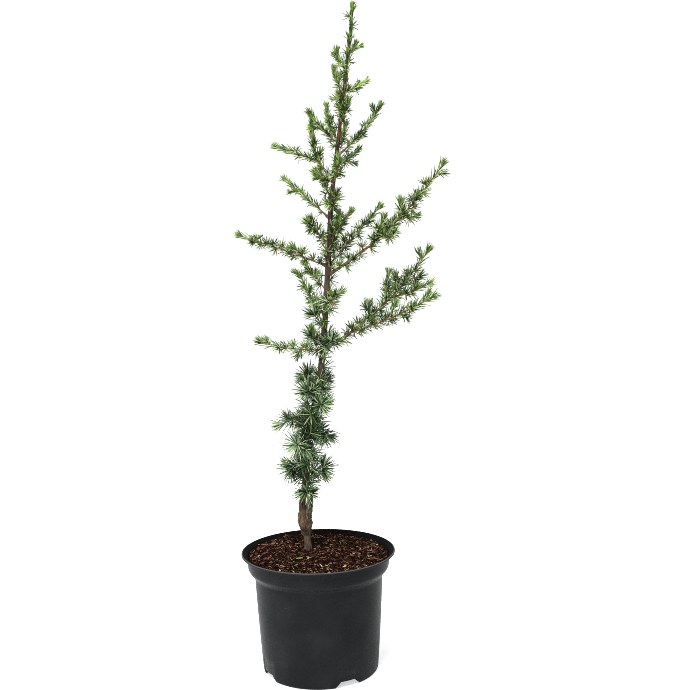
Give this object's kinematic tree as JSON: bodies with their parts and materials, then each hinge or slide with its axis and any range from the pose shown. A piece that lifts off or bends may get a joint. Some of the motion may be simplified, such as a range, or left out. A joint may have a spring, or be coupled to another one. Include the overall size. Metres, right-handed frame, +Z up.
{
  "type": "potted cedar of lebanon",
  "caption": "Young blue-green cedar of Lebanon with a slim leaning trunk, rising boughs and short needles in tufts, in a round black nursery pot filled with soil.",
  "frame": {"origin": "centre of the pot's flat underside", "axes": "+Z up along the plant, +X to the right and +Y to the back as seen from the front"},
  "size_m": [0.2728, 0.2019, 0.8166],
  "materials": {
    "pot_polypropylene": "satin black injection moulded polypropylene",
    "soil_peat": "moist peat and bark fibres",
    "trunk_bark": "scaly young bark",
    "bough_bark": "thin smooth bark",
    "cedar_needles": "waxy green needles"
  },
  "bodies": {
    "root": {"pot": "pot_polypropylene", "soil": "soil_peat", "trunk": "trunk_bark", "bough_back_long": "bough_bark", "bough_back_low": "bough_bark", "bough_left_long": "bough_bark", "bough_middle_back": "bough_bark", "bough_middle_left": "bough_bark", "bough_right_long": "bough_bark", "bough_right_long_upper": "bough_bark", "bough_right_low": "bough_bark", "bough_upper_back": "bough_bark", "bough_upper_left_fork": "bough_bark", "bough_upper_right": "bough_bark", "needles_back_long": "cedar_needles", "needles_back_low": "cedar_needles", "needles_front_low": "cedar_needles", "needles_front_lowest": "cedar_needles", "needles_leader_left_lower": "cedar_needles", "needles_leader_left_upper": "cedar_needles", "needles_leader_right": "cedar_needles", "needles_leader_tip": "cedar_needles", "needles_left_front_low": "cedar_needles", "needles_left_long": "cedar_needles", "needles_left_low": "cedar_needles", "needles_left_lowest": "cedar_needles", "needles_left_rosettes": "cedar_needles", "needles_lower_left": "cedar_needles", "needles_lower_right_back": "cedar_needles", "needles_middle_back": "cedar_needles", "needles_middle_front": "cedar_needles", "needles_middle_left": "cedar_needles", "needles_middle_left_cluster": "cedar_needles", "needles_middle_left_short": "cedar_needles", "needles_middle_right_back": "cedar_needles", "needles_middle_right_small": "cedar_needles", "needles_right_long": "cedar_needles", "needles_right_long_upper": "cedar_needles", "needles_right_low": "cedar_needles", "needles_right_lower": "cedar_needles", "needles_rosette_back_high": "cedar_needles", "needles_rosette_back_middle": "cedar_needles", "needles_rosette_front_left": "cedar_needles", "needles_rosette_front_low": "cedar_needles", "needles_rosette_front_right": "cedar_needles", "needles_rosette_left_high": "cedar_needles", "needles_rosette_left_large": "cedar_needles", "needles_rosette_left_low": "cedar_needles", "needles_rosette_right_low": "cedar_needles", "needles_top_back": "cedar_needles", "needles_top_front": "cedar_needles", "needles_top_right": "cedar_needles", "needles_upper_back": "cedar_needles", "needles_upper_front": "cedar_needles", "needles_upper_left": "cedar_needles", "needles_upper_left_fork": "cedar_needles", "needles_upper_left_inner": "cedar_needles", "needles_upper_right": "cedar_needles", "needles_upper_right_back": "cedar_needles"}
  },
  "joints": []
}
